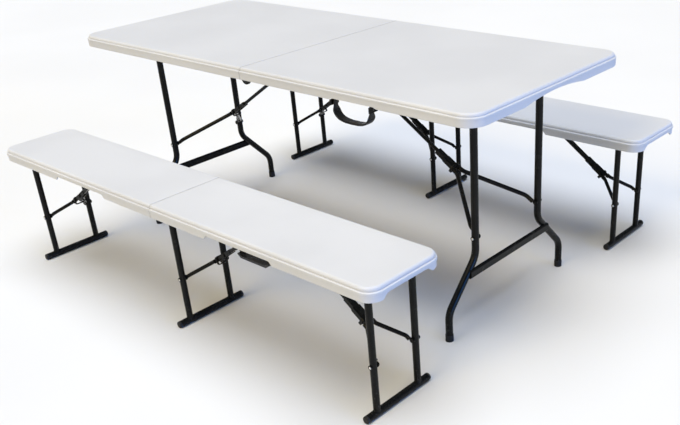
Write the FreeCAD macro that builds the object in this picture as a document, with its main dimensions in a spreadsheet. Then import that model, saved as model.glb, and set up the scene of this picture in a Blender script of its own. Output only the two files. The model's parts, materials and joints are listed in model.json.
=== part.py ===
import FreeCAD, Part
import math
import os
import Sketcher
from FreeCAD import Placement, Rotation, Vector

# A folding cafeteria table and its two folding benches.  X runs along the
# table, Y across it, Z up, with the origin on the floor under the table's
# middle.  Every top is two equal mouldings that hinge together at the middle.
# Each leg frame turns under its top about a cross tube, and is held open by
# a link and a forked brace with a sliding lock ring over their joint.

SIZES = {
    # moulded tops
    "table_length": 1800, "table_width": 740, "table_height": 740,
    "table_corner": 60, "table_rim": 37, "table_skirt": 14,
    "table_lip_inset": 5, "table_lip_drop": 10, "table_bead": 6, "table_bead_out": 1,
    "bench_length": 1800, "bench_width": 275, "bench_height": 420,
    "bench_corner": 45, "bench_rim": 41, "bench_skirt": 7,
    "bench_lip_inset": 4.5, "bench_lip_drop": 12, "bench_bead": 8, "bench_bead_out": 2,
    "edge_round": 8, "ledge_round": 3, "foot_round": 2.5, "panel": 8,
    "seam_gap": 1, "seam_wall": 8, "cut_below": 2,
    "table_arch_inset": 208, "table_end_rise": 14,
    "bench_arch_inset": 33.5, "bench_arch_sweep": 36, "bench_end_rise": 14.5,
    "table_side_arch": 96, "table_side_rise": 5, "table_side_middle": 478,
    "bench_side_arch": 148, "bench_side_rise": 13, "bench_side_middle": 397, "arch_slope": 15,
    "bench_shift": 16, "bench_distance": 620,
    # steel under the tops
    "steel": 3, "flange": 16, "flange_thick": 2, "flange_start": 12,
    "ear_gap": 0.4, "play": 0.05, "run_gap": 0.4, "weld": 1,
    "table_rail_inset": 11, "rail_past_frame": 40, "table_web_under": 9,
    "bench_rail_inset": 17.5, "bench_rail_end": 368, "bench_web_under": 8,
    "table_eye": 20, "table_hinge_reach": 32, "table_pin": 8,
    "bench_eye": 9, "bench_hinge_reach": 20, "bench_pin": 6,
    "pin_head": 1.5, "bracket_length": 50, "bracket_base": 36,
    # leg frames
    "table_tube": 23, "table_leg_inset": 206,
    "bench_tube": 20, "bench_leg_inset": 54.5, "pivot_clear": 1.5,
    "table_pivot_drop": "=panel+flange_thick+pivot_clear+table_tube/2",
    "bench_pivot_drop": "=panel+flange_thick+pivot_clear+bench_tube/2",
    "stub": 10, "table_frame_inset": 160,
    "bench_left_inset": 102, "bench_middle_x": 22, "bench_right_inset": 66,
    "table_bend_z": 230, "table_knee_z": 91, "table_foot_inset": 72, "table_bend": 60,
    "stretcher_tall": 28, "stretcher_thick": 14, "stretcher_z": 186, "stretcher_offset": 10,
    "boot_wall": 1.2, "boot_height": 22, "boot_floor": 5,
    "foot_clear": 1.5, "bench_foot_tube": 22, "bench_foot_cap": 8, "cap_round": 4,
    "rivet": 14, "rivet_head": 2.5,
    # folding braces
    "ring_clear": 0.6, "link_drop": "=panel+ring_clear+ring_wall+run_gap+channel_height/2",
    "link_pin_x": 50, "bench_reach": 355,
    "table_rivet_z": 289, "bench_rivet_z": 158,
    "channel_width": 20, "channel_wall": 2, "channel_height": "=link_tube+2*channel_wall-2*weld",
    "channel_front": 48, "channel_back": 40, "link_tube": 12, "link_pin": 6,
    "table_link_wide": 12, "bench_link_wide": 18, "bench_link_high": 11, "link_round": 2.5,
    "fork_pin": 8, "fork_plate": 3, "fork_height": "=channel_height-1", "fork_straight": 60,
    "table_fork_tube": 14, "table_fork_bend": 30, "table_fork_end": 36,
    "bench_fork_tube": 12, "bench_fork_bend": 12, "bench_fork_end": 20,
    "fork_tube_start": 50, "fork_tube_clear": 1,
    "ring_wall": 3, "ring_long": 8, "ring_place": 38, "ring_below": 14, "ring_corner": 7,
    # carry handles
    "strap_wide": 28, "strap_thick": 7,
    "table_handle_x": 465, "table_handle_half": 73, "table_handle_deep": 100,
    "table_handle_low": "=table_height-table_handle_deep",
    "table_handle_inset": 20, "table_handle_drop": 46, "table_handle_pin": 8,
    "table_handle_draw": 10, "table_handle_flat": 37, "table_handle_corner": 24,
    "table_neck": 15, "table_neck_long": 26, "table_neck_round": 6, "table_plate_wide": 34,
    "bench_handle_x": 456, "bench_handle_half": 67, "bench_handle_deep": 58,
    "bench_handle_low": "=bench_height-bench_handle_deep",
    "bench_handle_inset": 22.5, "bench_handle_drop": 34, "bench_handle_pin": 5,
    "bench_handle_draw": 4, "bench_handle_flat": 52, "bench_handle_corner": 9,
    "bench_neck": 10, "bench_neck_long": 12, "bench_neck_round": 4, "bench_plate_wide": 24,
}

doc = FreeCAD.newDocument("FoldingTable")
sizes = doc.addObject("Spreadsheet::Sheet", "Sizes")
for row, alias in enumerate(SIZES, 1):
    sizes.set(f"A{row}", alias)
    sizes.setAlias(f"B{row}", alias)
for row, number in enumerate(SIZES.values(), 1):
    sizes.set(f"B{row}", str(number))
doc.recompute()

UP = Vector(0, 0, 1)
ALONG_X = Rotation(Vector(0, 1, 0), 90)
ALONG_Y = Rotation(Vector(1, 0, 0), -90)
MARGIN = "2"          # how far a cutting outline runs past the piece
nodes = []

# How far each leg frame's pivot lies from the seam, and the table's foot from
# its middle plane.
FRAME_OUT = {"table": "(Sizes.table_length/2-Sizes.table_frame_inset)",
             "bench_left": "(Sizes.bench_length/2-Sizes.bench_left_inset)",
             "bench_middle": "Sizes.bench_middle_x",
             "bench_right": "(Sizes.bench_length/2-Sizes.bench_right_inset)"}
RAIL_FRAMES = ("table", "bench_middle")     # the frames whose pivots turn in the rails
RAIL_END = {"table": FRAME_OUT["table"] + "+Sizes.rail_past_frame", "bench": "Sizes.bench_rail_end"}
REACH = {"table": FRAME_OUT["table"] + "-Sizes.link_pin_x", "bench": "Sizes.bench_reach"}
FOOT_Y = "(Sizes.table_width/2-Sizes.table_foot_inset)"
BENCH_FOOT = "(Sizes.bench_width-2*Sizes.bench_skirt-2*Sizes.foot_clear)"


# ---- reading the sheet ----------------------------------------------------

def cell(name):
    """The expression that reads one cell."""
    return "Sizes." + name


def value(expression):
    """The number that an expression gives."""
    found = sizes.evalExpression(expression)
    return float(getattr(found, "Value", found))


def size(name):
    return value(cell(name))


def rail_y(kind):
    return f"(Sizes.{kind}_width/2-Sizes.{kind}_skirt-Sizes.{kind}_rail_inset)"


def leg_y(kind):
    return f"(Sizes.{kind}_width/2-Sizes.{kind}_leg_inset)"


def handle_y(kind):
    return f"(Sizes.{kind}_width/2-Sizes.{kind}_handle_inset)"


def ceiling(kind):
    """The underside of the top's panel."""
    return f"Sizes.{kind}_height-Sizes.panel"


def rim_foot(kind):
    return f"(Sizes.{kind}_height-Sizes.{kind}_rim)"


def pivot_z(kind):
    """The height of a leg frame's pivot, whose tube clears the rail's flange."""
    return f"Sizes.{kind}_height-Sizes.{kind}_pivot_drop"


# ---- sketches and features ------------------------------------------------

def plane(body, role):
    return [part for part in body.Origin.OriginFeatures if part.Role == role][0]


def sketch(body, name, role, offset="0"):
    """An empty sketch on one of the body's own planes, moved along its normal."""
    drawn = body.newObject("Sketcher::SketchObject", name)
    drawn.AttachmentSupport = [(plane(body, role), "")]
    drawn.MapMode = "FlatFace"
    drawn.setExpression("AttachmentOffset.Base.z", offset)
    return drawn


def hold_point(drawn, geometry, end, where):
    """Ties one point of the sketch to its two coordinate expressions."""
    for kind, axis, expression in zip(("DistanceX", "DistanceY"), (-2, -1), where):
        if near(value(expression), 0):
            drawn.addConstraint(Sketcher.Constraint("PointOnObject", geometry, end, axis))
        else:
            bound = Sketcher.Constraint(kind, -1, 1, geometry, end, value(expression))
            index = drawn.addConstraint(bound)
            drawn.setExpression(f"Constraints[{index}]", expression)


def hold_radius(drawn, geometry, radius):
    bound = drawn.addConstraint(Sketcher.Constraint("Radius", geometry, value(radius)))
    drawn.setExpression(f"Constraints[{bound}]", radius)


def point(where):
    return Vector(value(where[0]), value(where[1]), 0)


def end_at(drawn, geometry, place):
    """Which end of a line or arc lies nearer to a place."""
    gaps = [drawn.getPoint(geometry, end).distanceToPoint(place) for end in (1, 2)]
    return 1 if gaps[0] < gaps[1] else 2


def outline(drawn, corners, bulges=None, radius="0"):
    """A closed outline through corners given as pairs of expressions.

    A bulge is the point that the arc from its corner to the next one passes.
    """
    bulges = bulges or {}
    first = drawn.GeometryCount
    places = [point(corner) for corner in corners]
    for index, (start, finish) in enumerate(zip(places, places[1:] + places[:1])):
        if index in bulges:
            drawn.addGeometry(Part.Arc(start, point(bulges[index]), finish))
        else:
            drawn.addGeometry(Part.LineSegment(start, finish))
    for index, corner in enumerate(corners):
        here = first + index
        before = first + (index - 1) % len(corners)
        end = end_at(drawn, here, places[index])
        met = end_at(drawn, before, places[index])
        drawn.addConstraint(Sketcher.Constraint("Coincident", before, met, here, end))
        hold_point(drawn, here, end, corner)
    for index in bulges:
        hold_radius(drawn, first + index, radius)


def circle(drawn, centre, radius):
    index = drawn.addGeometry(Part.Circle(point(centre), UP, value(radius)))
    hold_point(drawn, index, 3, centre)
    hold_radius(drawn, index, radius)


def round_arch(drawn, foot, half, rise):
    """A low round arch standing on a chord at height foot."""
    outline(drawn, [("-" + half, foot), (half, foot)], {1: ("0", f"{foot}+{rise}")},
            f"({half}^2+{rise}^2)/(2*{rise})")


def swept_arch(drawn, foot, half, sweep, rise):
    """A level-topped arch whose sides rise in an S of two equal arcs."""
    radius = f"(({sweep})^2+{rise}^2)/(4*{rise})"
    turn = math.asin(value(sweep) / 2 / value(radius)) / 2
    across = value(radius) * math.sin(turn)
    up = value(radius) * (1 - math.cos(turn))
    corners = [("-" + half, foot), (f"{sweep}/2-{half}", f"{foot}+{rise}/2"),
               (f"{sweep}-{half}", f"{foot}+{rise}"), (f"{half}-{sweep}", f"{foot}+{rise}"),
               (f"{half}-{sweep}/2", f"{foot}+{rise}/2"), (half, foot)]
    bulges = {0: (f"{across}-{half}", f"{foot}+{up}"),
              1: (f"{sweep}-{half}-{across}", f"{foot}+{rise}-{up}"),
              3: (f"{half}-{sweep}+{across}", f"{foot}+{rise}-{up}"),
              4: (f"{half}-{across}", f"{foot}+{up}")}
    outline(drawn, corners, bulges, radius)


def bent_path(drawn, corners, bend):
    """An open run of straights joined by arcs of one bend radius."""
    points = [point(corner) for corner in corners]
    starts = [points[0]]
    arcs = []
    for before, here, after in zip(points, points[1:], points[2:]):
        inward = (before - here).normalize()
        outward = (after - here).normalize()
        half_turn = (math.pi - inward.getAngle(outward)) / 2
        setback = value(bend) * math.tan(half_turn)
        middle = (inward + outward).normalize()
        to_arc = value(bend) / math.cos(half_turn) - value(bend)
        arcs.append((here + inward * setback, here + middle * to_arc, here + outward * setback))
        starts.append(here + outward * setback)
    ends = [arc[0] for arc in arcs] + [points[-1]]
    for index, (start, end) in enumerate(zip(starts, ends)):
        drawn.addGeometry(Part.LineSegment(start, end))
        if index < len(arcs):
            drawn.addGeometry(Part.Arc(*arcs[index]))
    guides = []
    for start, end in zip(corners, corners[1:]):
        guide = drawn.addGeometry(Part.LineSegment(point(start), point(end)), True)
        hold_point(drawn, guide, 1, start)
        hold_point(drawn, guide, 2, end)
        guides.append(guide)
    tie_bends(drawn, guides, bend)


def tie_bends(drawn, guides, bend):
    """Lays each straight on its guide line and each arc tangent to its straights."""
    last = len(guides) - 1
    drawn.addConstraint(Sketcher.Constraint("Coincident", 0, 1, guides[0], 1))
    drawn.addConstraint(Sketcher.Constraint("Coincident", 2 * last, 2, guides[last], 2))
    for index, guide in enumerate(guides):
        straight = 2 * index
        if index > 0:
            drawn.addConstraint(Sketcher.Constraint("PointOnObject", straight, 1, guide))
        if index < last:
            drawn.addConstraint(Sketcher.Constraint("PointOnObject", straight, 2, guide))
            arc = straight + 1
            joined = end_at(drawn, arc, drawn.getPoint(straight, 2))
            drawn.addConstraint(Sketcher.Constraint("Tangent", straight, 2, arc, joined))
            drawn.addConstraint(Sketcher.Constraint("Tangent", arc, 3 - joined, straight + 2, 1))
            hold_radius(drawn, arc, bend)


def new_body(name):
    return doc.addObject("PartDesign::Body", name)


def pad(body, drawn, length, both_ways=False, reverse=False):
    made = body.newObject("PartDesign::Pad", drawn.Name + "Pad")
    made.Profile = drawn
    made.Midplane = both_ways
    made.Reversed = reverse
    made.setExpression("Length", length)
    doc.recompute()
    return made


def pocket(body, drawn, length, reverse=False, both_ways=False):
    """Cuts the sketch's outline, and stops the build if nothing was cut."""
    before = body.Shape.Volume
    made = body.newObject("PartDesign::Pocket", drawn.Name + "Pocket")
    made.Profile = drawn
    made.Midplane = both_ways
    made.Reversed = reverse
    made.setExpression("Length", length)
    doc.recompute()
    if body.Shape.Volume >= before:
        raise ValueError(drawn.Name + " cuts nothing")
    return made


def round_edges(body, name, radius, wanted):
    """Fillets every edge of the body's tip whose middle passes the test."""
    tip = body.Tip
    chosen = []
    for index, edge in enumerate(tip.Shape.Edges):
        middle = edge.valueAt((edge.FirstParameter + edge.LastParameter) / 2)
        if wanted(edge, middle):
            chosen.append(f"Edge{index + 1}")
    made = body.newObject("PartDesign::Fillet", name)
    made.Base = (tip, chosen)
    made.setExpression("Radius", radius)
    doc.recompute()
    return made


def near(number, other):
    return abs(number - other) < 0.01


def runs_along(edge, axis):
    """Whether an edge starts out along X, Y or Z (0, 1 or 2)."""
    return near(abs(edge.tangentAt(edge.FirstParameter)[axis]), 1)


# ---- Part solids ----------------------------------------------------------

def rod(name, radius, length, start, turn=Rotation()):
    """A round bar from its start point along its own turned Z."""
    made = doc.addObject("Part::Cylinder", name)
    made.setExpression("Radius", radius)
    made.setExpression("Height", length)
    made.Placement = Placement(start, turn)
    return made


def cross_rod(name, radius, length, x, z):
    """A round bar along Y, centred on the middle plane."""
    return rod(name, radius, length, Vector(x, -value(length) / 2, z), ALONG_Y)


def block(name, lengths, corner):
    made = doc.addObject("Part::Box", name)
    for side, length in zip(("Length", "Width", "Height"), lengths):
        made.setExpression(side, length)
    made.Placement = Placement(corner, Rotation())
    return made


def fuse(name, pieces):
    made = doc.addObject("Part::MultiFuse", name)
    made.Shapes = pieces
    made.Refine = True
    return made


def cut(name, base, tool):
    made = doc.addObject("Part::Cut", name)
    made.Base = base
    made.Tool = tool
    return made


def group(name, pieces):
    made = doc.addObject("Part::Compound", name)
    made.Links = pieces
    return made


def node(made, label, placement):
    """Names a finished sub-part and sets it in its place."""
    made.Label = label
    made.Placement = placement
    nodes.append(made)


def turned(half_turn, x=0, y=0):
    """A place on the floor plan, turned half round or not."""
    return Placement(Vector(x, y, 0), Rotation(UP, 180 if half_turn else 0))


# ---- moulded tops ---------------------------------------------------------

def half_outline(drawn, kind, seam, inset):
    """The plan of one half: square at the seam, round at its two outer corners."""
    end = f"(Sizes.{kind}_length/2-{inset})"
    side = f"(Sizes.{kind}_width/2-{inset})"
    corner = f"(Sizes.{kind}_corner-{inset})"
    before, beside = f"{end}-{corner}", f"({side}-{corner})"
    bulge, bulge_y = f"{before}+{corner}*sqrt(0.5)", f"({beside}+{corner}*sqrt(0.5))"
    outline(drawn, [(seam, "-" + side), (before, "-" + side), (end, "-" + beside),
                    (end, beside), (before, side), (seam, side)],
            {1: (bulge, "-" + bulge_y), 3: (bulge, bulge_y)}, corner)


def outer_shell(body, kind):
    """The skirt, the bead that stands out above it, and the plate set in on top."""
    seam = "Sizes.seam_gap/2"
    ledge = f"Sizes.{kind}_height-Sizes.{kind}_lip_drop"
    bead = cell(kind + "_bead")
    layers = [("Skirt", rim_foot(kind), cell(kind + "_bead_out"),
               f"Sizes.{kind}_rim-Sizes.{kind}_lip_drop-{bead}"),
              ("Bead", f"{ledge}-{bead}", "0", bead),
              ("Plate", ledge, cell(kind + "_lip_inset"), cell(kind + "_lip_drop"))]
    rounds = {"Skirt": ("foot_round", rim_foot(kind)), "Bead": ("ledge_round", ledge),
              "Plate": ("edge_round", cell(kind + "_height"))}
    at_seam = value(seam)
    for name, foot, inset, tall in layers:
        layer = sketch(body, name, "XY_Plane", foot)
        half_outline(layer, kind, seam, inset)
        pad(body, layer, tall)
        radius, level = rounds[name][0], value(rounds[name][1])
        round_edges(body, name + "Edge", cell(radius),
                    lambda edge, at: near(at.z, level) and not near(at.x, at_seam))


def hollow(body, kind):
    """The open underside."""
    cavity = sketch(body, "Cavity", "XY_Plane", rim_foot(kind))
    half_outline(cavity, kind, "Sizes.seam_gap/2+Sizes.seam_wall", cell(kind + "_skirt"))
    pocket(body, cavity, f"Sizes.{kind}_rim-Sizes.panel", reverse=True)


def rim_cuts(body, kind):
    """The arch in the end skirt and the slots that the hinge ears turn in."""
    end = sketch(body, "EndArch", "YZ_Plane", f"Sizes.{kind}_length/2+{MARGIN}")
    foot = rim_foot(kind) + "-Sizes.cut_below"
    half = f"(Sizes.{kind}_width/2-Sizes.{kind}_arch_inset)"
    rise = f"(Sizes.{kind}_end_rise+Sizes.cut_below)"
    if kind == "table":
        round_arch(end, foot, half, rise)
    else:
        swept_arch(end, foot, half, "Sizes.bench_arch_sweep", rise)
    pocket(body, end, f"Sizes.{kind}_skirt+2*{MARGIN}")
    slots = sketch(body, "EarSlots", "YZ_Plane", "0")
    half = "(Sizes.steel+Sizes.ear_gap+Sizes.pin_head+Sizes.run_gap)"
    low = rim_foot(kind) + "-" + MARGIN
    for side in ("-", ""):
        middle = side + rail_y(kind)
        left, right = f"{middle}-{half}", f"{middle}+{half}"
        outline(slots, [(left, low), (right, low), (right, ceiling(kind)), (left, ceiling(kind))])
    pocket(body, slots, "Sizes.seam_gap+Sizes.seam_wall+" + MARGIN, reverse=True)


def side_arches(body, kind):
    """The low flat arches in the long skirts, with sloping ends."""
    under = rim_foot(kind) + "-Sizes.cut_below"
    middle, half = cell(kind + "_side_middle"), cell(kind + "_side_arch")
    top = f"{rim_foot(kind)}+Sizes.{kind}_side_rise"
    sides = sketch(body, "SideArch", "XZ_Plane", f"Sizes.{kind}_width/2+{MARGIN}")
    outline(sides, [(f"{middle}-{half}", under), (f"{middle}+{half}", under),
                    (f"{middle}+{half}-Sizes.arch_slope", top),
                    (f"{middle}-{half}+Sizes.arch_slope", top)])
    through = "Sizes.bench_width" if kind == "bench" else "Sizes.table_skirt"
    pocket(body, sides, through + "+2*" + MARGIN)


def top_half(kind, label, placement):
    body = new_body("Top")
    outer_shell(body, kind)
    hollow(body, kind)
    rim_cuts(body, kind)
    side_arches(body, kind)
    node(body, label, placement)


# ---- rails, ears and brackets under the tops ------------------------------

def drill(body, role, offset, thickness, holes):
    """Bores through a plate that is centred on its offset plane."""
    for index, (centre, radius) in enumerate(holes):
        drilled = sketch(body, f"{body.Name}Hole{index}", role, offset)
        circle(drilled, centre, radius)
        pocket(body, drilled, thickness + "+" + MARGIN, both_ways=True)


def plate(name, role, offset, corners, holes):
    """A flat steel plate from its outline, centred on its offset plane."""
    body = new_body(name)
    face = sketch(body, name + "Outline", role, offset)
    outline(face, corners)
    pad(body, face, "Sizes.steel", both_ways=True)
    drill(body, role, offset, "Sizes.steel", holes)
    return body


def flange(kind, start, length, across):
    """The top flange of a rail or bracket, on the side towards the middle."""
    web_y = -value(across)
    inner = web_y + size("steel") / 2 if web_y < 0 else web_y - size("steel") / 2 - size("flange")
    return block("Flange", (length, "Sizes.flange", "Sizes.flange_thick"),
                 Vector(start, inner, value(ceiling(kind)) - size("flange_thick")))


def rail(kind, side, frames):
    """One rail: an upright web that ends in a half-moon hinge ear, and a top flange."""
    under, end = rim_foot(kind), RAIL_END[kind]
    web_foot = f"{pivot_z(kind)}-Sizes.{kind}_web_under"
    eye, reach = cell(kind + "_eye"), cell(kind + "_hinge_reach")
    across = f"{side}{rail_y(kind)}+(Sizes.steel+Sizes.ear_gap)/2"
    tangent = (f"{eye}^2/{reach}", f"{under}-{eye}*sqrt(1-({eye}/{reach})^2)")
    body = new_body("Rail")
    web = sketch(body, "Web", "XZ_Plane", across)
    outline(web, [("0", ceiling(kind)), ("0", under), tangent, (reach, under),
                  (reach + "+Sizes.steel", web_foot), (end, web_foot), (end, ceiling(kind))])
    pad(body, web, "Sizes.steel", both_ways=True)
    ear = sketch(body, "Ear", "XZ_Plane", across)
    circle(ear, ("0", under), eye)
    pad(body, ear, "Sizes.steel", both_ways=True)
    holes = [(("0", under), f"Sizes.{kind}_pin/2+Sizes.play")]
    holes += [((FRAME_OUT[name], pivot_z(kind)), "Sizes.stub/2+Sizes.play") for name in frames]
    drill(body, "XZ_Plane", across, "Sizes.steel", holes)
    lip = flange(kind, size("flange_start"), f"{end}-Sizes.flange_start", across)
    return fuse("RailWithFlange", [body, lip])


def end_bracket(name, side):
    """The short angle that carries one end of a bench's outer leg frame."""
    middle, half = FRAME_OUT[name], "Sizes.bracket_length/2"
    foot = pivot_z("bench") + "-Sizes.bench_web_under"
    left, right = f"{middle}-{half}", f"{middle}+{half}"
    across = side + rail_y("bench")
    web = plate("EndBracket", "XZ_Plane", across,
                [(left, foot), (right, foot), (right, ceiling("bench")), (left, ceiling("bench"))],
                [((middle, pivot_z("bench")), "Sizes.stub/2+Sizes.play")])
    return fuse("BracketWithFlange",
                [web, flange("bench", value(left), "Sizes.bracket_length", across)])


def link_bracket(kind, pivot_x):
    """Two ears and a pin under the panel, for the fixed end of a link."""
    steel, radius = size("steel"), size("link_tube") / 2
    top = value(ceiling(kind))
    axis = size(kind + "_height") - size("link_drop")
    ear_y = size(kind + "_link_wide") / 2 + size("run_gap") + steel / 2
    pieces = []
    for side in (-1, 1):
        face = side * ear_y - steel / 2
        pieces.append(rod("BracketEye", "Sizes.link_tube/2", "Sizes.steel",
                          Vector(pivot_x, face, axis), ALONG_Y))
        pieces.append(block("BracketEar", ("Sizes.link_tube", "Sizes.steel",
                                           f"{top - axis}-Sizes.steel/2"),
                            Vector(pivot_x - radius, face, axis)))
    half = size("bracket_base") / 2
    pieces.append(block("BracketBase", ("Sizes.bracket_base", "Sizes.bracket_base", "Sizes.steel/2"),
                        Vector(pivot_x - half, -half, top - steel / 2)))
    pieces.append(cross_rod("BracketPin", "Sizes.link_pin/2", str(2 * ear_y + steel), pivot_x, axis))
    return fuse("LinkBracket", pieces)


def handle_brackets(kind):
    """The two hanging plates between which a carry handle swings."""
    axis = f"Sizes.{kind}_height-Sizes.{kind}_handle_drop"
    foot = f"{axis}-Sizes.{kind}_handle_pin"
    outer = f"-{handle_y(kind)}-Sizes.{kind}_plate_wide/2"
    inner = f"-{handle_y(kind)}+Sizes.{kind}_plate_wide/2"
    corners = [(inner, ceiling(kind)), (inner, foot), (outer, foot)]
    if kind == "table":
        under = rim_foot(kind) + "-Sizes.ear_gap"
        wall = "-Sizes.table_width/2+Sizes.table_skirt+Sizes.run_gap"
        corners += [(outer, under), (wall, under), (wall, ceiling(kind))]
    else:
        corners.append((outer, ceiling(kind)))
    hole = (("-" + handle_y(kind), axis), f"Sizes.{kind}_handle_pin/2+Sizes.play")
    away = f"(Sizes.{kind}_handle_half+Sizes.run_gap+Sizes.steel/2)"
    return [plate("HandlePlate", "YZ_Plane", f"Sizes.{kind}_handle_x{side}{away}", corners, [hole])
            for side in ("-", "+")]


def rails_node(kind, label, placement, frames, has_handle=False):
    """Everything screwed or welded under one half, which carries the named frames."""
    held = [name for name in frames if name in RAIL_FRAMES]
    front = rail(kind, "", held)
    pieces = [rail(kind, "-", held)]
    plates = handle_brackets(kind) if has_handle else []
    if plates and kind == "table":
        pieces.append(fuse("FrontRail", [front] + plates))
    else:
        pieces += [front] + plates
    for name in frames:
        towards = 1 if name == "bench_middle" else -1
        pieces.append(link_bracket(kind, value(FRAME_OUT[name]) + towards * value(REACH[kind])))
        if name not in RAIL_FRAMES:
            pieces += [end_bracket(name, side) for side in ("-", "")]
    node(group("Rails", pieces), label, placement)


def hinge_pins(kind, label, placement):
    """The two headed pins that join the ears of both halves."""
    pins = []
    under = value(rim_foot(kind))
    long = 2 * size("steel") + size("ear_gap")
    for side in (-1, 1):
        middle = side * value(rail_y(kind))
        shank = rod("Shank", f"Sizes.{kind}_pin/2", "2*Sizes.steel+Sizes.ear_gap",
                    Vector(0, middle - long / 2, under), ALONG_Y)
        heads = [rod("Head", f"Sizes.{kind}_pin*0.8", "Sizes.pin_head",
                     Vector(0, start, under), ALONG_Y)
                 for start in (middle - long / 2 - size("pin_head"), middle + long / 2)]
        pins.append(fuse("HingePin", [shank] + heads))
    node(group("HingePins", pins), label, placement)


# ---- leg frames -----------------------------------------------------------

def pivot_tube(kind):
    """The cross tube under the top, with the stubs that turn in the rails."""
    axis = value(pivot_z(kind))
    shoulder = "(Sizes.steel+Sizes.ear_gap+Sizes.run_gap)"
    return [cross_rod("PivotTube", f"Sizes.{kind}_tube/2", f"2*({rail_y(kind)}-{shoulder})", 0, axis),
            cross_rod("PivotStub", "Sizes.stub/2", f"2*({rail_y(kind)}+{shoulder})", 0, axis)]


def leg_rivets(kind):
    """The rivet heads on the outer sides of both legs, where the brace is held."""
    face = value(leg_y(kind)) + size(kind + "_tube") / 2
    starts = (-face - size("rivet_head"), face - size("weld"))
    return [rod("Rivet", "Sizes.rivet/2", "Sizes.rivet_head+Sizes.weld",
                Vector(0, start, size(kind + "_rivet_z")), ALONG_Y) for start in starts]


def table_leg():
    """A bent leg on each side, from the pivot tube out to the foot."""
    body = new_body("BentLegs")
    path = sketch(body, "LegPath", "YZ_Plane")
    bent_path(path, [(leg_y("table"), pivot_z("table")), (leg_y("table"), "Sizes.table_bend_z"),
                     (FOOT_Y, "Sizes.table_knee_z"), (FOOT_Y, "Sizes.boot_floor")],
              "Sizes.table_bend")
    section = sketch(body, "LegSection", "XY_Plane", pivot_z("table"))
    circle(section, ("0", leg_y("table")), "Sizes.table_tube/2")
    pipe = body.newObject("PartDesign::AdditivePipe", "LegTube")
    pipe.Profile = section
    pipe.Spine = path
    doc.recompute()
    mirror = body.newObject("PartDesign::Mirrored", "OtherLeg")
    mirror.Originals = [pipe]
    mirror.MirrorPlane = (plane(body, "XZ_Plane"), [""])
    body.Tip = mirror
    doc.recompute()
    return body


def stretcher():
    """The flattened tube across both legs, with its ends inside them."""
    body = new_body("Stretcher")
    section = sketch(body, "StretcherSection", "XZ_Plane")
    x, z = "Sizes.stretcher_offset", "Sizes.stretcher_z"
    thick, tall = "Sizes.stretcher_thick/2", "Sizes.stretcher_tall/2"
    outline(section, [(f"{x}-{thick}", f"{z}-{tall}"), (f"{x}+{thick}", f"{z}-{tall}"),
                      (f"{x}+{thick}", f"{z}+{tall}"), (f"{x}-{thick}", f"{z}+{tall}")])
    down = f"(Sizes.table_bend_z-{z})/(Sizes.table_bend_z-Sizes.table_knee_z)"
    span = f"2*({leg_y('table')}+{down}*({FOOT_Y}-{leg_y('table')}))"
    pad(body, section, span, both_ways=True)
    round_edges(body, "FlattenedSides", thick + "-Sizes.play", lambda edge, at: runs_along(edge, 1))
    return body


def table_frame_legs(label, placement):
    """Both bent legs joined by the pivot tube above and the stretcher below."""
    whole = fuse("TableLegs", [table_leg(), stretcher()] + pivot_tube("table") + leg_rivets("table"))
    node(whole, label, placement)


def bench_frame_legs(label, placement):
    """Two straight legs from the pivot tube down to a foot bar."""
    pieces = pivot_tube("bench") + leg_rivets("bench")
    bar_z = size("bench_foot_tube") / 2
    for side in (-1, 1):
        pieces.append(rod("Leg", "Sizes.bench_tube/2", f"{pivot_z('bench')}-Sizes.bench_foot_tube/2",
                          Vector(0, side * value(leg_y("bench")), bar_z)))
    pieces.append(cross_rod("FootBar", "Sizes.bench_foot_tube/2",
                            BENCH_FOOT + "-2*Sizes.bench_foot_cap", 0, bar_z))
    node(fuse("BenchLegs", pieces), label, placement)


def table_boots(label, placement):
    """The rubber boots on the two legs."""
    boots = []
    for side in (-1, 1):
        foot = Vector(0, side * value(FOOT_Y), 0)
        outside = rod("BootOutside", "Sizes.table_tube/2+Sizes.boot_wall", "Sizes.boot_height", foot)
        bore = rod("BootBore", "Sizes.table_tube/2+Sizes.play", "Sizes.boot_height",
                   foot + UP * size("boot_floor"))
        boots.append(cut("Boot", outside, bore))
    node(group("Boots", boots), label, placement)


def bench_caps(label, placement):
    """The domed plugs that close the foot bar."""
    caps = []
    tip = value(BENCH_FOOT) / 2
    for start in (f"{BENCH_FOOT}/2-Sizes.bench_foot_cap", f"-{BENCH_FOOT}/2"):
        body = new_body("BarCap")
        face = sketch(body, "CapFace", "XZ_Plane", start)
        circle(face, ("0", "Sizes.bench_foot_tube/2"), "Sizes.bench_foot_tube/2")
        pad(body, face, "Sizes.bench_foot_cap")
        round_edges(body, "Dome", "Sizes.cap_round", lambda edge, at: near(abs(at.y), tip))
        caps.append(body)
    node(group("BarCaps", caps), label, placement)


# ---- folding braces -------------------------------------------------------

def brace_lengths(kind):
    """Link and fork lengths that let the frame fold flat, and the link's slope.

    The leg's rivet lies rivet_down under the frame's pivot, and the link's
    fixed pin lies lift above it and reach away from it.  Open and folded are
    the two places where link and fork lie in one line.
    """
    rivet_down = value(pivot_z(kind)) - size(kind + "_rivet_z")
    lift = size(kind + "_pivot_drop") - size("link_drop")
    reach = value(REACH[kind])
    drop = rivet_down + lift
    total = math.sqrt(reach ** 2 + drop ** 2 - lift ** 2)
    fork = (total - (reach - rivet_down)) / 2
    slope = math.degrees(math.atan2(drop, reach) + math.atan2(lift, total))
    return total - fork, fork, lift, slope


def brace_place(kind, frame_place):
    """Sets a piece drawn with the link's axis along X into its open place."""
    link, fork, lift, slope = brace_lengths(kind)
    angle = math.radians(slope)
    joint = Vector(link * math.cos(angle) - value(REACH[kind]), 0,
                   size(kind + "_height") - size("link_drop") - link * math.sin(angle))
    return frame_place.multiply(Placement(joint, Rotation(Vector(0, 1, 0), slope)))


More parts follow.
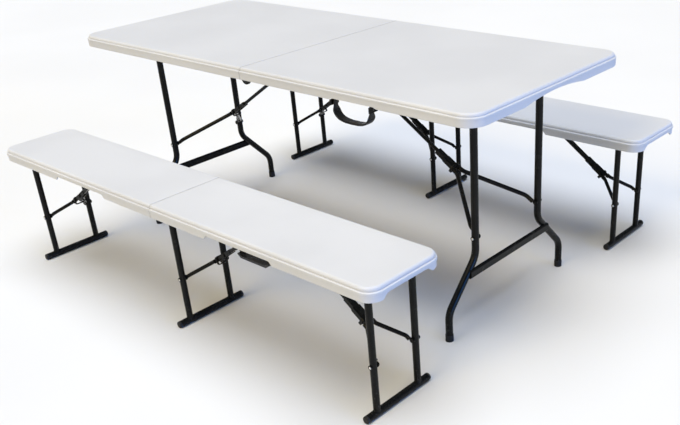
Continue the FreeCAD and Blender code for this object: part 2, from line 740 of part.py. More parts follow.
def channel():
    """The folded channel that the fork's pin passes through."""
    body = new_body("Channel")
    section = sketch(body, "ChannelSection", "YZ_Plane", "Sizes.channel_front")
    half, high = "Sizes.channel_width/2", "Sizes.channel_height/2"
    inside, under = half + "-Sizes.channel_wall", high + "-Sizes.channel_wall"
    outline(section, [("-" + half, "-" + high), (f"-({inside})", "-" + high), (f"-({inside})", under),
                      (inside, under), (inside, "-" + high), (half, "-" + high),
                      (half, high), ("-" + half, high)])
    pad(body, section, "Sizes.channel_front+Sizes.channel_back", reverse=True)
    drill(body, "XZ_Plane", "0", "Sizes.channel_width", [(("0", "0"), "Sizes.fork_pin/2+Sizes.play")])
    return body


def link_bar(kind):
    """The bar from the channel to the eye: a tube on the table, a flat bar on a bench."""
    length = brace_lengths(kind)[0]
    covered = "Sizes.channel_back-Sizes.channel_width/2"
    long = f"{length}-({covered})"
    if kind == "table":
        return rod("LinkTube", "Sizes.link_tube/2", long, Vector(-length, 0, 0), ALONG_X)
    body = new_body("LinkBar")
    section = sketch(body, "BarSection", "YZ_Plane", f"-({covered})")
    wide, high = "Sizes.bench_link_wide/2", "Sizes.bench_link_high/2"
    outline(section, [("-" + wide, "-" + high), (wide, "-" + high), (wide, high), ("-" + wide, high)])
    pad(body, section, long, reverse=True)
    round_edges(body, "BarEdges", "Sizes.link_round", lambda edge, at: runs_along(edge, 0))
    return body


def link_node(kind, label, placement):
    """The channel and the bar that runs from it to the pin under the top."""
    length = brace_lengths(kind)[0]
    wide = cell(kind + "_link_wide")
    eye = cross_rod("LinkEye", "Sizes.link_tube/2", wide, -length, 0)
    hole = cross_rod("LinkEyeHole", "Sizes.link_pin/2+Sizes.play", wide + "+2*" + MARGIN, -length, 0)
    whole = cut("Link", fuse("LinkWhole", [channel(), link_bar(kind), eye]), hole)
    node(whole, label, brace_place(kind, placement))


def fork_arm(kind, side):
    """One arm of the fork: a flat plate beside the channel, then a bent tube."""
    fork, lift = brace_lengths(kind)[1:3]
    gap, thick, head = size("run_gap"), size("fork_plate"), size("rivet_head")
    plate_y = size("channel_width") / 2 + gap + thick / 2
    leg_face = value(leg_y(kind)) - size(kind + "_tube") / 2 - gap
    half = "Sizes.fork_height/2"
    body = new_body("ForkPlate")
    flat = sketch(body, "FlatEnd", "XZ_Plane", str(-side * plate_y))
    outline(flat, [("0", "-" + half), ("Sizes.fork_straight", "-" + half),
                   ("Sizes.fork_straight", half), ("0", half)])
    pad(body, flat, "Sizes.fork_plate", both_ways=True)
    nose = sketch(body, "RoundNose", "XZ_Plane", str(-side * plate_y))
    circle(nose, ("0", "0"), half)
    pad(body, nose, "Sizes.fork_plate", both_ways=True)
    face = leg_face - thick if side > 0 else -leg_face
    end = rod("ForkEnd", "Sizes.rivet/2+Sizes.fork_plate/2", "Sizes.fork_plate",
              Vector(fork, face, lift), ALONG_Y)
    inside = face - head if side > 0 else face + thick / 2
    rivet = rod("ForkRivet", "Sizes.rivet/2", "Sizes.rivet_head+Sizes.fork_plate/2",
                Vector(fork, inside, lift), ALONG_Y)
    return [body, fork_tube(kind, side, leg_face, fork, lift), end, rivet]


def tightest_bend(corners, wanted):
    """The wanted bend radius, or the largest that the two end straights leave room for."""
    start, turn, back, end = [point(corner) for corner in corners]
    half_turn = (turn - start).getAngle(back - turn) / 2
    room = min((turn - start).Length, (end - back).Length) - size("weld")
    return min(wanted, room / math.tan(half_turn))


def fork_tube(kind, side, leg_face, fork, lift):
    """The arm's tube, bent out from the plate and bent back along the leg."""
    body = new_body("ForkTube")
    radius = f"Sizes.{kind}_fork_tube/2"
    out_y = str(side * (leg_face - value(radius) - size("fork_plate") / 3))
    near_x = "Sizes.fork_tube_start"
    near_y = f"{side}*(Sizes.{kind}_link_wide/2+Sizes.fork_tube_clear+{radius})"
    corners = [(near_x, near_y), (near_x + "+Sizes.fork_height", near_y),
               (f"{fork}-Sizes.{kind}_fork_end", out_y), (f"{fork}-Sizes.rivet/2", out_y)]
    path = sketch(body, "ArmPath", "XY_Plane")
    bent_path(path, corners, str(tightest_bend(corners, size(kind + "_fork_bend"))))
    section = sketch(body, "ArmSection", "YZ_Plane", near_x)
    circle(section, (near_y, "0"), radius)
    pipe = body.newObject("PartDesign::AdditivePipe", "ArmTube")
    pipe.Profile = section
    pipe.Spine = path
    doc.recompute()
    body.Placement = Placement(Vector(), Rotation(Vector(0, 1, 0), -math.degrees(lift / fork)))
    return body


def fork_node(kind, label, placement):
    """Both arms and the headed pin that joins them through the channel."""
    pieces = fork_arm(kind, 1) + fork_arm(kind, -1)
    outer = "Sizes.channel_width+2*Sizes.run_gap+2*Sizes.fork_plate"
    pieces.append(cross_rod("ForkPin", "Sizes.fork_pin/2", outer, 0, 0))
    node(fuse("Fork", pieces), label, brace_place(kind, placement))


def ring_node(kind, label, placement):
    """The collar that slides over channel and fork to lock them in line."""
    body = new_body("Ring")
    inner_half = "(Sizes.channel_width/2+2*Sizes.run_gap+Sizes.fork_plate+Sizes.channel_wall/2)"
    top, low = "Sizes.channel_height/2+Sizes.run_gap", "-Sizes.ring_below"
    place = "Sizes.ring_place-Sizes.ring_long/2"
    wall = "Sizes.ring_wall"
    outside = sketch(body, "RingOutside", "YZ_Plane", place)
    half = f"({inner_half}+{wall})"
    outline(outside, [("-" + half, f"{low}-{wall}"), (half, f"{low}-{wall}"),
                      (half, f"{top}+{wall}"), ("-" + half, f"{top}+{wall}")])
    pad(body, outside, "Sizes.ring_long")
    round_edges(body, "RingCorners", "Sizes.ring_corner", lambda edge, at: runs_along(edge, 0))
    inside = sketch(body, "RingInside", "YZ_Plane", place)
    outline(inside, [("-" + inner_half, low), (inner_half, low), (inner_half, top), ("-" + inner_half, top)])
    pocket(body, inside, "Sizes.ring_long+" + MARGIN, reverse=True)
    node(body, label, brace_place(kind, placement))


def brace_nodes(kind, prefix, placement):
    link_node(kind, prefix + "_link", placement)
    fork_node(kind, prefix + "_brace", placement)
    ring_node(kind, prefix + "_ring", placement)


# ---- carry handles --------------------------------------------------------

def strap_run(kind):
    """The outer corners of a handle's strap, down from one pin and up to the other."""
    middle, half = size(kind + "_handle_x"), size(kind + "_handle_half")
    low, flat = size(kind + "_handle_low"), size(kind + "_handle_flat")
    top = size(kind + "_height") - size(kind + "_handle_drop") + size(kind + "_neck") / 2
    waist = half - size(kind + "_handle_draw")
    shoulder = low + size(kind + "_handle_corner")
    return [Vector(middle + x, z, 0) for x, z in
            ((-half, top), (-waist, shoulder), (-flat, low), (flat, low), (waist, shoulder), (half, top))]


def inner_run(run, thick):
    """The same run of straights, moved to its left by the strap's thickness."""
    ways = [(after - before).normalize() for before, after in zip(run, run[1:])]
    moved = []
    for here, before, after in zip(run, ways[:1] + ways, ways + ways[-1:]):
        along = (before + after).normalize()
        moved.append(here + Vector(-along.y, along.x, 0) * (thick / along.dot(before)))
    return moved


def narrow_necks(body, kind):
    """Takes both sides off the strap where it hangs between its plates."""
    sides = sketch(body, "NeckSides", "YZ_Plane", cell(kind + "_handle_x"))
    top = cell(kind + "_height")
    low = f"{top}-Sizes.{kind}_handle_drop-Sizes.{kind}_neck_long"
    for sign in ("-", "+"):
        inner = f"-{handle_y(kind)}{sign}Sizes.{kind}_neck/2"
        outer = f"-{handle_y(kind)}{sign}Sizes.strap_wide"
        outline(sides, [(outer, low), (inner, low), (inner, top), (outer, top)])
    pocket(body, sides, f"2*Sizes.{kind}_handle_half+2*{MARGIN}", both_ways=True)


def strap_handle(kind, label, placement):
    """A wide strap bent to a bowl, which hangs from a stub pin at each end."""
    axis = size(kind + "_height") - size(kind + "_handle_drop")
    run = strap_run(kind)
    corners = run + inner_run(run, size("strap_thick"))[::-1]
    body = new_body("Strap")
    loop = sketch(body, "Loop", "XZ_Plane", handle_y(kind))
    outline(loop, [(str(corner.x), str(corner.y)) for corner in corners])
    pad(body, loop, "Sizes.strap_wide", both_ways=True)
    round_edges(body, "Bends", "Sizes.strap_thick",
                lambda edge, at: at.z < axis and runs_along(edge, 1))
    narrow_necks(body, kind)
    round_edges(body, "NeckEnds", cell(kind + "_neck_round"),
                lambda edge, at: at.z > axis and abs(edge.tangentAt(edge.FirstParameter).x) > 0.7)
    middle, half = size(kind + "_handle_x"), size(kind + "_handle_half")
    y = -value(handle_y(kind))
    pins = [rod("StubPin", f"Sizes.{kind}_handle_pin/2", "Sizes.strap_thick+Sizes.steel+Sizes.run_gap",
                Vector(start, y, axis), ALONG_X)
            for start in (middle - half - size("steel") - size("run_gap"),
                          middle + half - size("strap_thick"))]
    node(fuse("CarryHandle", [body] + pins), label, placement)


# ---- the whole set --------------------------------------------------------

def table_set():
    for side, back in (("left", True), ("right", False)):
        place = turned(back)
        frame = turned(back, (-1 if back else 1) * value(FRAME_OUT["table"]))
        prefix = "table_" + side
        top_half("table", prefix + "_top", place)
        rails_node("table", prefix + "_rails", place, ["table"], has_handle=not back)
        table_frame_legs(prefix + "_legs", frame)
        table_boots(prefix + "_feet", frame)
        brace_nodes("table", prefix, frame)
    hinge_pins("table", "table_hinge_pins", turned(False))
    strap_handle("table", "table_handle", turned(False))


def bench_set(name, place):
    other = place.multiply(turned(True))
    top_half("bench", name + "_left_top", other)
    top_half("bench", name + "_right_top", place)
    rails_node("bench", name + "_left_rails", other, ["bench_left"])
    rails_node("bench", name + "_right_rails", place, ["bench_middle", "bench_right"], has_handle=True)
    hinge_pins("bench", name + "_hinge_pins", place)
    strap_handle("bench", name + "_handle", place)
    for side, back, sign in (("left", True, -1), ("middle", True, 1), ("right", False, 1)):
        frame = place.multiply(turned(back, sign * value(FRAME_OUT["bench_" + side])))
        prefix = f"{name}_{side}"
        bench_frame_legs(prefix + "_legs", frame)
        bench_caps(prefix + "_feet", frame)
        brace_nodes("bench", prefix, frame)


table_set()
bench_set("near_bench", turned(False, -size("bench_shift"), -size("bench_distance")))
bench_set("far_bench", turned(True, size("bench_shift"), size("bench_distance")))

doc.recompute()
for made in doc.Objects:
    if "Invalid" in made.State or "Error" in made.State:
        raise ValueError(f"{made.Label} failed")
os.makedirs("parts", exist_ok=True)
for made in nodes:
    if made.Shape.isNull() or not made.Shape.isValid():
        raise ValueError(f"{made.Label} has no sound shape")
    made.Shape.exportStep(os.path.join("parts", made.Label + ".step"))
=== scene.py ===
import json
import math

import bmesh
import bpy
from mathutils import Euler, Matrix, Vector

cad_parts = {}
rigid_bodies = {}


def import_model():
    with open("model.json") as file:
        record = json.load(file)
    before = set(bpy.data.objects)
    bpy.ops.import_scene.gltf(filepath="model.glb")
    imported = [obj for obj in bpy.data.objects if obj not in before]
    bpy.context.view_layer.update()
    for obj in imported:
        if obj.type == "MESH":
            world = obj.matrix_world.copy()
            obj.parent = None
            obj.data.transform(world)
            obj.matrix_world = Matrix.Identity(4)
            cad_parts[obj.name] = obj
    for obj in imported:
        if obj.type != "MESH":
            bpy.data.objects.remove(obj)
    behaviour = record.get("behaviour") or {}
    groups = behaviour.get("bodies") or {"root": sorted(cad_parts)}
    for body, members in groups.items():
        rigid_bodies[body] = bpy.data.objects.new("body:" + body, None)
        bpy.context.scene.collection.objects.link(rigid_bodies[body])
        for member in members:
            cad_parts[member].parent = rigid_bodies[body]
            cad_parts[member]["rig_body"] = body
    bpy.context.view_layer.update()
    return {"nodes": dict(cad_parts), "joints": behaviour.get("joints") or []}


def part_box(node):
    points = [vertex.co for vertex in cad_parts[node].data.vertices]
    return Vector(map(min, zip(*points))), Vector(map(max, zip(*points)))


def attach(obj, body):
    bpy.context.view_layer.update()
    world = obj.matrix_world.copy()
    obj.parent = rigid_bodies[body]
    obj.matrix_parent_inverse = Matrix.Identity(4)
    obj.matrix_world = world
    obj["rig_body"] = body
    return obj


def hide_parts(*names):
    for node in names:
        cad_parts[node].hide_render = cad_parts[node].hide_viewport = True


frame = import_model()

nodes = frame["nodes"]


def joint_place(name):
    """The point that a joint of the frame turns about, in metres."""
    return next(joint["pos_m"] for joint in frame["joints"] if joint["name"] == name)


# How far along the seam between the two halves of each top lies.
SEAM_X = {"table": joint_place("table_half_fold")[0],
          "near": joint_place("near_bench_half_fold")[0],
          "far": joint_place("far_bench_half_fold")[0]}


# ---- shader graph ---------------------------------------------------------

class Wire:
    """One output socket, so that maths on a surface's values reads as Python."""

    def __init__(self, graph, socket):
        self.graph = graph
        self.socket = socket

    def maths(self, operation, *values):
        return self.graph.add("ShaderNodeMath", {"operation": operation}, dict(enumerate(values)))

    def __add__(self, other):
        return self.maths("ADD", self, other)

    def __sub__(self, other):
        return self.maths("SUBTRACT", self, other)

    def __rsub__(self, other):
        return self.maths("SUBTRACT", other, self)

    def __mul__(self, other):
        return self.maths("MULTIPLY", self, other)

    def __abs__(self):
        return self.maths("ABSOLUTE", self)

    __radd__ = __add__
    __rmul__ = __mul__

    def sine(self):
        return self.maths("SINE", self)

    def band(self, low, high, to_low=0.0, to_high=1.0):
        """The stretch from low to high, eased on to a new range and held inside it."""
        return self.graph.add("ShaderNodeMapRange",
                              {"clamp": True, "interpolation_type": "SMOOTHSTEP"},
                              {"Value": self, "From Min": low, "From Max": high,
                               "To Min": to_low, "To Max": to_high})


class Graph:
    """The node tree of a finish or of the room's light."""

    def __init__(self, tree):
        self.tree = tree
        self.tree.nodes.clear()

    def add(self, kind, settings=None, sockets=None, out=0):
        """A node with its settings, then its sockets' values or links; gives one output."""
        node = self.tree.nodes.new(kind)
        for key, setting in (settings or {}).items():
            setattr(node, key, setting)
        for key, entry in (sockets or {}).items():
            socket = node.inputs[key]
            if isinstance(entry, Wire):
                self.tree.links.new(entry.socket, socket)
            else:
                socket.default_value = entry
        return Wire(self, node.outputs[out]) if node.outputs else None

    def place(self):
        """Where a point lies on the piece, in metres."""
        return self.add("ShaderNodeTexCoord", out="Object")

    def axis(self, vector, name):
        return self.add("ShaderNodeSeparateXYZ", {}, {"Vector": vector}, out=name)

    def noise(self, at, scale, detail=2.0):
        """Soft blotches, about as many to the metre as the scale says."""
        return self.add("ShaderNodeTexNoise", {}, {"Vector": at, "Scale": scale, "Detail": detail})

    def cells(self, at, scale):
        """The distance to the nearest of scattered points, for specks."""
        return self.add("ShaderNodeTexVoronoi", {}, {"Vector": at, "Scale": scale})

    def stretched(self, at, along, across, high):
        """The place with each axis scaled, for marks that run one way."""
        return self.add("ShaderNodeMapping", {}, {"Vector": at, "Scale": (along, across, high)})

    def blend(self, share, first, second):
        """From the first colour to the second as the share goes from 0 to 1."""
        return self.add("ShaderNodeMix", {"data_type": "RGBA"},
                        {0: share, 6: first, 7: second}, out=2)

    def relief(self, height):
        """The normal of a surface that stands out by a height in metres."""
        return self.add("ShaderNodeBump", {}, {"Height": height, "Distance": 1.0})

    def surface(self, **sockets):
        """The finished surface: keyword names stand for the shader's sockets."""
        named = {key.replace("_", " "): entry for key, entry in sockets.items()}
        shader = self.add("ShaderNodeBsdfPrincipled", {}, named)
        self.add("ShaderNodeOutputMaterial", {}, {"Surface": shader})


def finish(name):
    """A new material and the graph that makes it."""
    material = bpy.data.materials.new(name)
    material.use_nodes = True
    return material, Graph(material.node_tree)


# ---- finishes -------------------------------------------------------------

def moulded_polyethylene(name, seam_x):
    """Granite-white plastic: pebbled, flecked, scuffed along, and darker where its halves meet,
    with dust and painted shade in the seam.
    """
    plastic, pale_plastic = (0.545, 0.545, 0.548, 1), (0.575, 0.575, 0.576, 1)
    dark_fleck, white_fleck = (0.38, 0.38, 0.39, 1), (0.65, 0.65, 0.65, 1)
    seam_dirt_and_shade, rubbed = (0.22, 0.21, 0.19, 1), (0.43, 0.43, 0.43, 1)
    material, graph = finish(name)
    at = graph.place()
    x = graph.axis(at, "X")
    haze = graph.noise(at, 2.4, 3.0)
    fleck = graph.cells(at, 420.0).band(0.0, 0.22, 1.0, 0.0)
    pale = graph.noise(at, 900.0).band(0.58, 0.75)
    base = graph.blend(haze.band(0.35, 0.65), plastic, pale_plastic)
    flecked = graph.blend(fleck * 0.28, base, dark_fleck)
    bright = graph.blend(pale * 0.25, flecked, white_fleck)
    # Painted shade and dust: a patchy dark band along the seam stands in for the shade in the gap
    # between the halves.
    seam = abs(x - seam_x).band(0.0008, 0.0046, 1.0, 0.0)
    dust = graph.noise(at, 38.0, 4.0).band(0.35, 0.75, 0.55, 1.0)
    lined = graph.blend(seam * dust * 0.3, bright, seam_dirt_and_shade)
    scuff = graph.noise(graph.stretched(at, 3.0, 90.0, 90.0), 5.0, 3.0).band(0.66, 0.74)
    height = (graph.noise(at, 650.0) * 0.00022 - seam * 0.0006 - scuff * 0.00006
              - ceiling_dimples(graph, at) * 0.0035)
    graph.surface(Base_Color=graph.blend(scuff * 0.16, lined, rubbed),
                  Roughness=0.47 + haze * 0.08 + scuff * 0.12,
                  Normal=graph.relief(height), Specular_IOR_Level=0.4)
    return material


def ceiling_dimples(graph, at):
    """Round dimples in rows, only on faces that look down."""
    radians_a_metre = 105.0
    x, y = graph.axis(at, "X"), graph.axis(at, "Y")
    waves = (x * radians_a_metre).sine() * (y * radians_a_metre).sine()
    rows = waves.band(0.35, 0.75)
    facing = graph.axis(graph.add("ShaderNodeTexCoord", out="Normal"), "Z")
    return rows * facing.band(-0.95, -0.8, 1.0, 0.0)


def powder_coat():
    """Black satin powder coat: orange peel, dust, and scuffs low on the legs."""
    black, brown_black = (0.0045, 0.0045, 0.0036, 1), (0.0085, 0.0080, 0.0060, 1)
    dust_grey, bare_grey = (0.035, 0.033, 0.028, 1), (0.085, 0.08, 0.072, 1)
    material, graph = finish("black_powder_coat")
    at = graph.place()
    patches = graph.noise(at, 22.0, 4.0)
    dust = graph.noise(at, 160.0, 3.0).band(0.55, 0.85)
    low = graph.axis(at, "Z").band(0.015, 0.14, 1.0, 0.0)
    scuff = graph.noise(graph.stretched(at, 1.0, 1.0, 0.3), 240.0, 4.0).band(0.6, 0.72)
    base = graph.blend(patches.band(0.4, 0.7), black, brown_black)
    dusty = graph.blend(dust * 0.1, base, dust_grey)
    graph.surface(Base_Color=graph.blend(scuff * low * 0.55, dusty, bare_grey),
                  Roughness=0.20 + patches * 0.12 + scuff * low * 0.3,
                  Normal=graph.relief(graph.noise(at, 900.0) * 0.0001),
                  Specular_IOR_Level=0.3, IOR=1.32)
    return material


def zinc():
    """Bright zinc plate on pins and rivets."""
    dull, bright = (0.62, 0.61, 0.58, 1), (0.80, 0.78, 0.72, 1)
    material, graph = finish("zinc_plate")
    bloom = graph.noise(graph.place(), 320.0, 4.0)
    graph.surface(Base_Color=graph.blend(bloom.band(0.35, 0.7), dull, bright),
                  Metallic=1.0, Roughness=0.24 + bloom * 0.22,
                  Normal=graph.relief(bloom * 0.0001))
    return material


def moulded_black(name, roughness, grain, wear):
    """Black rubber or plastic, rubbed paler in patches; grain and wear count marks to the metre."""
    black, rubbed = (0.0085, 0.0085, 0.0085, 1), (0.038, 0.036, 0.034, 1)
    material, graph = finish(name)
    at = graph.place()
    worn = graph.noise(at, wear, 4.0).band(0.5, 0.75)
    graph.surface(Base_Color=graph.blend(worn * 0.45, black, rubbed),
                  Roughness=roughness + worn * 0.16,
                  Normal=graph.relief(graph.noise(at, grain, 3.0) * 0.00014),
                  Specular_IOR_Level=0.25)
    return material


def pale_floor():
    """Matt, nearly white, with slow clouds."""
    grey, white = (0.655, 0.655, 0.65, 1), (0.675, 0.675, 0.67, 1)
    material, graph = finish("pale_floor")
    cloud = graph.noise(graph.place(), 0.8)
    graph.surface(Base_Color=graph.blend(cloud.band(0.3, 0.7), grey, white),
                  Roughness=0.9, Specular_IOR_Level=0.1)
    return material


TOPS = {"table": moulded_polyethylene("table_top_plastic", SEAM_X["table"]),
        "near": moulded_polyethylene("near_seat_plastic", SEAM_X["near"]),
        "far": moulded_polyethylene("far_seat_plastic", SEAM_X["far"])}
COAT = powder_coat()
ZINC = zinc()
BOOT = moulded_black("boot_rubber", roughness=0.62, grain=700.0, wear=60.0)
CAP = moulded_black("bar_cap_plastic", roughness=0.48, grain=900.0, wear=90.0)
HANDLE = moulded_black("handle_plastic", roughness=0.26, grain=1200.0, wear=35.0)


def finish_of(node_name):
    """The finish of a CAD node, by the first and last words of its name."""
    words = node_name.split("_")
    if words[-1] == "top":
        return TOPS[words[0]]
    if words[-1] == "feet":
        return BOOT if words[0] == "table" else CAP
    return {"pins": ZINC, "handle": HANDLE}.get(words[-1], COAT)


for node_name, node in nodes.items():
    node.data.materials.clear()
    node.data.materials.append(finish_of(node_name))


# ---- mesh helpers ---------------------------------------------------------

def add_piece(name, work, material, carrier):
    """Turns finished mesh work into a piece that moves with the body of a CAD node."""
    bmesh.ops.recalc_face_normals(work, faces=work.faces)
    mesh = bpy.data.meshes.new(name)
    work.to_mesh(mesh)
    work.free()
    mesh.materials.append(material)
    for face in mesh.polygons:
        face.use_smooth = True
    piece = bpy.data.objects.new(name, mesh)
    bpy.context.collection.objects.link(piece)
    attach(piece, nodes[carrier]["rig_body"])
    return piece


def skin(work, rings, closed=False):
    """Faces from each ring of points to the next, and from the last to the first if closed."""
    following = rings[1:] + rings[:1] if closed else rings[1:]
    for ring, beyond in zip(rings, following):
        for step in range(len(ring)):
            after = (step + 1) % len(ring)
            work.faces.new((ring[step], ring[after], beyond[after], beyond[step]))


HEAD_STEPS = 20


def turned_head(work, place, out, profile):
    """A turned head on a face: profile is (radius, rise) from its rim in to its middle."""
    turn = Vector(out).to_track_quat("Z", "Y").to_matrix()
    rings = []
    for radius, rise in profile[:-1]:
        ring = []
        for step in range(HEAD_STEPS):
            angle = math.tau * step / HEAD_STEPS
            spoke = Vector((radius * math.cos(angle), radius * math.sin(angle), rise))
            ring.append(work.verts.new(Vector(place) + turn @ spoke))
        rings.append(ring)
    crown = work.verts.new(Vector(place) + turn @ Vector((0, 0, profile[-1][1])))
    skin(work, rings)
    for step in range(HEAD_STEPS):
        work.faces.new((rings[-1][step], rings[-1][(step + 1) % HEAD_STEPS], crown))
    work.faces.new(rings[0][::-1])


def pushed_out(wave, power):
    """A sine or cosine with its shoulders pushed out, which squares up a circle."""
    return math.copysign(abs(wave) ** power, wave)


# ---- the table's carry handle ---------------------------------------------

HANDLE_X, HANDLE_Y, HANDLE_Z = joint_place("table_handle_swing")

# The strap's line, with heights from the pins' axis: half its span, its foot, where its bow
# springs from the necks, and a neck's points, close together where its end rounds off.
STRAP_HALF, STRAP_FOOT, STRAP_SPRING = 0.0695, -0.0504, -0.0040
NECK_HEIGHTS = (0.0092, 0.0084, 0.0068, 0.0045, 0.0020, -0.0010)
BOW_STEPS, BOW_POWER = 60, 0.68

# The strap's section: how wide, where it widens from neck to grip, how thick, and its ridges.
NECK_WIDTH, GRIP_EXTRA, NECK_END_RADIUS = 0.0150, 0.0130, 0.0094
SHOULDER_TOP, SHOULDER_LENGTH = -0.0080, 0.018
STRAP_HALF_THICK, SECTION_STEPS, SECTION_POWER = 0.0034, 24, 0.5
RIDGE_HEIGHT, RIDGE_PITCH, RIDGED_HALF = 0.00035, 0.006, 0.036
STUB_PIN = [(0.004, 0.0), (0.004, 0.0064), (0.0035, 0.0068), (0.0, 0.0068)]


def strap_line():
    """The strap's middle line in its own upright plane, from one pin round to the other."""
    neck = [(-STRAP_HALF, height) for height in NECK_HEIGHTS]
    bow = []
    for step in range(BOW_STEPS + 1):
        angle = math.pi * step / BOW_STEPS
        out = pushed_out(math.cos(angle), BOW_POWER)
        down = pushed_out(math.sin(angle), BOW_POWER)
        bow.append((-STRAP_HALF * out, STRAP_SPRING - (STRAP_SPRING - STRAP_FOOT) * down))
    return neck + bow + [(-along, height) for along, height in neck[::-1]]


def strap_width(height):
    """Wide at the grip, drawn in to a neck with a round end about the pin."""
    swell = min(max((SHOULDER_TOP - height) / SHOULDER_LENGTH, 0.0), 1.0)
    width = NECK_WIDTH + GRIP_EXTRA * swell * swell * (3 - 2 * swell)
    if height > 0:
        width = min(width, 2 * math.sqrt(NECK_END_RADIUS ** 2 - height ** 2))
    return width


def strap_ring(work, along, height, out):
    """The strap's section at one point of its line, ridged across the grip."""
    ridged = abs(along) < RIDGED_HALF
    ridge = RIDGE_HEIGHT * math.cos(along * math.tau / RIDGE_PITCH) if ridged else 0.0
    ring = []
    for turn in range(SECTION_STEPS):
        angle = math.tau * turn / SECTION_STEPS
        thick = pushed_out(math.cos(angle), SECTION_POWER) * (STRAP_HALF_THICK + ridge)
        wide = pushed_out(math.sin(angle), SECTION_POWER) * strap_width(height) / 2
        middle = Vector((HANDLE_X + along, HANDLE_Y + wide, HANDLE_Z + height))
        ring.append(work.verts.new(middle + out * thick))
    return ring


def carry_strap():
    """The bowed strap with finger ridges on its grip, and its two stub pins."""
    line = strap_line()
    work = bmesh.new()
    rings = []
    for step, (along, height) in enumerate(line):
        before, after = line[max(step - 1, 0)], line[min(step + 1, len(line) - 1)]
        way_on = Vector((after[0] - before[0], 0, after[1] - before[1])).normalized()
        rings.append(strap_ring(work, along, height, Vector((way_on.z, 0, -way_on.x))))
    skin(work, rings)
    work.faces.new(rings[0][::-1])
    work.faces.new(rings[-1])
    for way in (-1, 1):
        pin = (HANDLE_X + way * STRAP_HALF, HANDLE_Y, HANDLE_Z)
        turned_head(work, pin, (way, 0, 0), STUB_PIN)
    piece = add_piece("table_carry_strap", work, HANDLE, "table_handle")
    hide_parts("table_handle")


carry_strap()


# ---- small steel detail ---------------------------------------------------

RIVET_TAIL = [(0.0038, 0.0), (0.0038, 0.0006), (0.0030, 0.0013), (0.0016, 0.0016), (0.0, 0.0017)]
DOMED_HEAD = [(0.0046, 0.0), (0.0046, 0.0008), (0.0040, 0.0015), (0.0022, 0.0019), (0.0, 0.0020)]

# Across from a top's middle line, and above the floor: the heads on the legs' outer sides,
# and the under faces of the rail flanges.
LEG_HEAD = {"table": (0.178, 0.289), "bench": (0.0955, 0.158)}
FLANGE = {"table": (0.3355, 0.730), "bench": (0.1035, 0.410)}

# Along from a top's seam; a bench half has two more, one each side of its end frame's pivot.
TABLE_RIVETS = (0.070, 0.230, 0.400, 0.560, 0.700, 0.765)
BENCH_RIVETS = (0.070, 0.200, 0.330)
PIVOT_RIVET = 0.017

# How far out a bench leg stands, the circle that its weld runs on, just outside the tube, the
# foot bar under it, and the bead's own radius and steps, round the leg and round the bead.
BENCH_LEG_OUT, WELD_CIRCLE, FOOT_BAR_RADIUS = 0.083, 0.0101, 0.0110
BEAD_RADIUS, BEAD_STEPS, BEAD_ROUND = 0.0011, 48, 8


def frame_middle(frame_name):
    """The middle of a leg frame's feet, along and across."""
    low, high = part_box(frame_name + "_feet")
    return (low[0] + high[0]) / 2, (low[1] + high[1]) / 2


def rivet_tails(frame_name, kind):
    """Bright rivet tails in the middle of the black heads on both legs."""
    across, high = LEG_HEAD[kind]
    x, y = frame_middle(frame_name)
    work = bmesh.new()
    for side in (-1, 1):
        turned_head(work, (x, y + side * across, high), (0, side, 0), RIVET_TAIL)
    add_piece(frame_name + "_rivet_tails", work, ZINC, frame_name + "_legs")


def rail_rivets(half, kind, places, centre_y):
    """Domed rivet heads under the rail flanges of one half."""
    across, high = FLANGE[kind]
    work = bmesh.new()
    for x in places:
        for side in (-1, 1):
            turned_head(work, (x, centre_y + side * across, high), (0, 0, -1), DOMED_HEAD)
    add_piece(half + "_rail_rivets", work, ZINC, half + "_rails")


def weld_ring(work, middle_x, middle_y, angle, phase):
    """One ring of a weld bead, where the leg's round side meets the bar's round top."""
    coarse, fine = 0.16 * math.sin(angle * 17), 0.08 * math.sin(angle * 29 + phase)
    radius = BEAD_RADIUS * (1 + coarse + fine)
    out = Vector((math.cos(angle), math.sin(angle), 0))
    foot = Vector((middle_x, middle_y, FOOT_BAR_RADIUS)) + out * WELD_CIRCLE
    foot.z += math.sqrt(FOOT_BAR_RADIUS ** 2 - (WELD_CIRCLE * math.cos(angle)) ** 2)
    ring = []
    for turn in range(BEAD_ROUND):
        lean = math.tau * turn / BEAD_ROUND
        offset = out * math.cos(lean) + Vector((0, 0, math.sin(lean)))
        ring.append(work.verts.new(foot + offset * radius))
    return ring


def foot_welds(frame_name):
    """The rippled bead where each bench leg stands on its foot bar."""
    x, y = frame_middle(frame_name)
    work = bmesh.new()
    for side in (-1, 1):
        rings = [weld_ring(work, x, y + side * BENCH_LEG_OUT, math.tau * step / BEAD_STEPS, side)
                 for step in range(BEAD_STEPS)]
        skin(work, rings, closed=True)
    add_piece(frame_name + "_foot_welds", work, COAT, frame_name + "_legs")


for side, way in (("left", -1), ("right", 1)):
    rivet_tails("table_" + side, "table")
    places = [SEAM_X["table"] + way * x for x in TABLE_RIVETS]
    rail_rivets("table_" + side, "table", places, 0.0)

# The far bench is the near one turned round, so its left half lies to the right.
for bench, turned in (("near", 1), ("far", -1)):
    for side in ("left", "middle", "right"):
        rivet_tails(f"{bench}_bench_{side}", "bench")
        foot_welds(f"{bench}_bench_{side}")
    for side, way in (("left", -turned), ("right", turned)):
        end_x, bench_y = frame_middle(f"{bench}_bench_{side}")
        places = [SEAM_X[bench] + way * x for x in BENCH_RIVETS]
        places += [end_x - PIVOT_RIVET, end_x + PIVOT_RIVET]
        rail_rivets(f"{bench}_bench_{side}", "bench", places, bench_y)


# ---- stage, light and camera ----------------------------------------------

def stage_floor():
    """A plain floor, large enough that its edge lies near the horizon."""
    half = 60.0
    mesh = bpy.data.meshes.new("floor")
    corners = [(-half, -half, 0), (half, -half, 0), (half, half, 0), (-half, half, 0)]
    mesh.from_pydata(corners, [], [(0, 1, 2, 3)])
    mesh.materials.append(pale_floor())
    floor = bpy.data.objects.new("floor", mesh)
    bpy.context.collection.objects.link(floor)


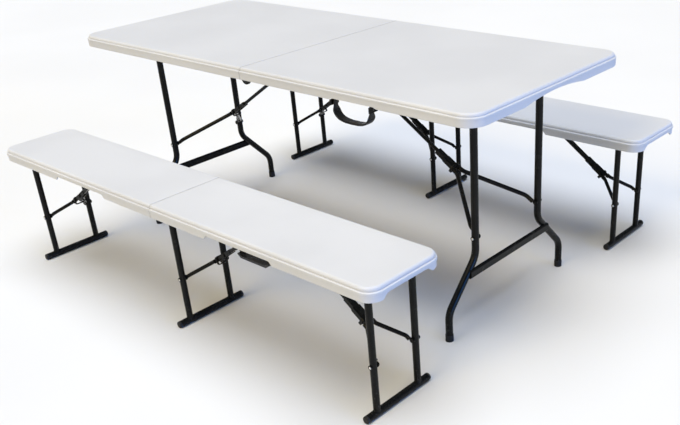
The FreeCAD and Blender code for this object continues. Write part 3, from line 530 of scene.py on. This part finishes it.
def studio_walls():
    """Pale light low round the room, dim overhead."""
    low_strength, high_strength = 0.55, 0.10
    world = bpy.data.worlds.new("studio")
    world.use_nodes = True
    graph = Graph(world.node_tree)
    height = graph.axis(graph.add("ShaderNodeTexCoord", out="Generated"), "Z")
    strength = height.band(0.04, 0.4, low_strength, high_strength)
    light = graph.add("ShaderNodeBackground", {},
                      {"Color": (0.90, 0.94, 1.0, 1), "Strength": strength})
    graph.add("ShaderNodeOutputWorld", {}, {"Surface": light})
    bpy.context.scene.world = world


def soft_light(name, azimuth, rise, spread, strength, colour):
    """A far soft light: azimuth 0 shines along +Y, 90 along -X.

    The strength is how bright a white face turned to it looks.
    """
    lamp = bpy.data.lights.new(name, "SUN")
    lamp.angle = math.radians(spread)
    lamp.energy = strength * math.pi
    lamp.color = colour
    lamp_object = bpy.data.objects.new(name, lamp)
    lamp_object.rotation_euler = Euler((math.radians(90 - rise), 0, math.radians(azimuth)))
    bpy.context.collection.objects.link(lamp_object)


# The render's size, and the lens's focal length and middle, in its pixels.
RENDER_WIDTH, RENDER_HEIGHT = 680, 425
FOCAL_PX = 882.5
CENTRE_PX = (407.0, 282.0)

CAMERA_PLACE = (2.1702, -2.0289, 1.4222)
CAMERA_AZIMUTH, CAMERA_RISE, CAMERA_ROLL = 42.57, 28.45, -3.36
SENSOR_WIDTH = 36.0


def place_camera():
    """Looks along the table from its near right corner, a little tilted."""
    camera = bpy.data.cameras.new("photo_view")
    camera.sensor_width = SENSOR_WIDTH
    camera.lens = FOCAL_PX / RENDER_WIDTH * SENSOR_WIDTH
    camera.shift_x = (RENDER_WIDTH / 2 - CENTRE_PX[0]) / RENDER_WIDTH
    camera.shift_y = (CENTRE_PX[1] - RENDER_HEIGHT / 2) / RENDER_WIDTH
    camera_object = bpy.data.objects.new("photo_view", camera)
    turn = Euler((math.radians(90 - CAMERA_RISE), 0, math.radians(CAMERA_AZIMUTH))).to_matrix()
    roll = Matrix.Rotation(math.radians(CAMERA_ROLL), 3, "Z")
    camera_object.rotation_euler = (turn @ roll).to_euler()
    camera_object.location = CAMERA_PLACE
    bpy.context.collection.objects.link(camera_object)
    bpy.context.scene.camera = camera_object


bpy.context.scene.view_settings.view_transform = "Standard"
stage_floor()
studio_walls()
soft_light("warm_front", azimuth=0, rise=38, spread=24, strength=0.50, colour=(1.0, 0.80, 0.42))
soft_light("cool_top", azimuth=0, rise=88, spread=60, strength=1.18, colour=(0.89, 0.93, 1.0))
soft_light("blue_side", azimuth=90, rise=7, spread=24, strength=0.66, colour=(0.0, 0.27, 1.0))
place_camera()
